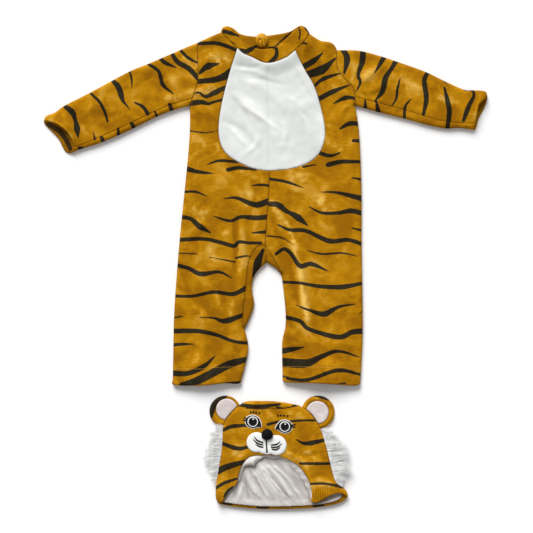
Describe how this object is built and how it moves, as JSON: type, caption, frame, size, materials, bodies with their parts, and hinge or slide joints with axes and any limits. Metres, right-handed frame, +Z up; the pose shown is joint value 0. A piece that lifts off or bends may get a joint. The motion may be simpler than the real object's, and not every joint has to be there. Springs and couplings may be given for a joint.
{
  "type": "tiger costume",
  "caption": "Child's plush tiger costume laid flat: long-sleeved jumpsuit with white bib, and a matching hat with round ears, appliqued face and fur mane.",
  "frame": {"origin": "on the floor, under the middle of the whole layout", "axes": "+Z up from the floor, +Y from the hat towards the jumpsuit's collar, +X to the right as seen from above with the collar at the top"},
  "size_m": [0.775, 0.8441, 0.0223],
  "materials": {
    "tiger_plush": "short pile plush, golden orange with near-black tiger stripes",
    "white_plush": "short pile plush, white",
    "white_lining": "thin smooth white lining cloth",
    "white_fur": "long white fur",
    "black_plush": "short black pile",
    "eye_stitching": "close black and white satin stitching"
  },
  "bodies": {
    "root": {"front_left": "tiger_plush", "front_right": "tiger_plush", "bib": "white_plush", "back_left": "tiger_plush", "back_right": "tiger_plush", "left_sleeve": "tiger_plush", "right_sleeve": "tiger_plush", "collar": "tiger_plush", "back_tab": "tiger_plush", "hat_front": "tiger_plush", "hat_back": "tiger_plush", "hat_lining": "white_lining", "lining_edge": "white_lining", "left_ear": "tiger_plush", "left_ear_inner": "white_plush", "right_ear": "tiger_plush", "right_ear_inner": "white_plush", "muzzle": "white_plush", "nose": "black_plush", "left_eye": "eye_stitching", "right_eye": "eye_stitching", "left_mane": "white_fur", "right_mane": "white_fur"}
  },
  "joints": []
}
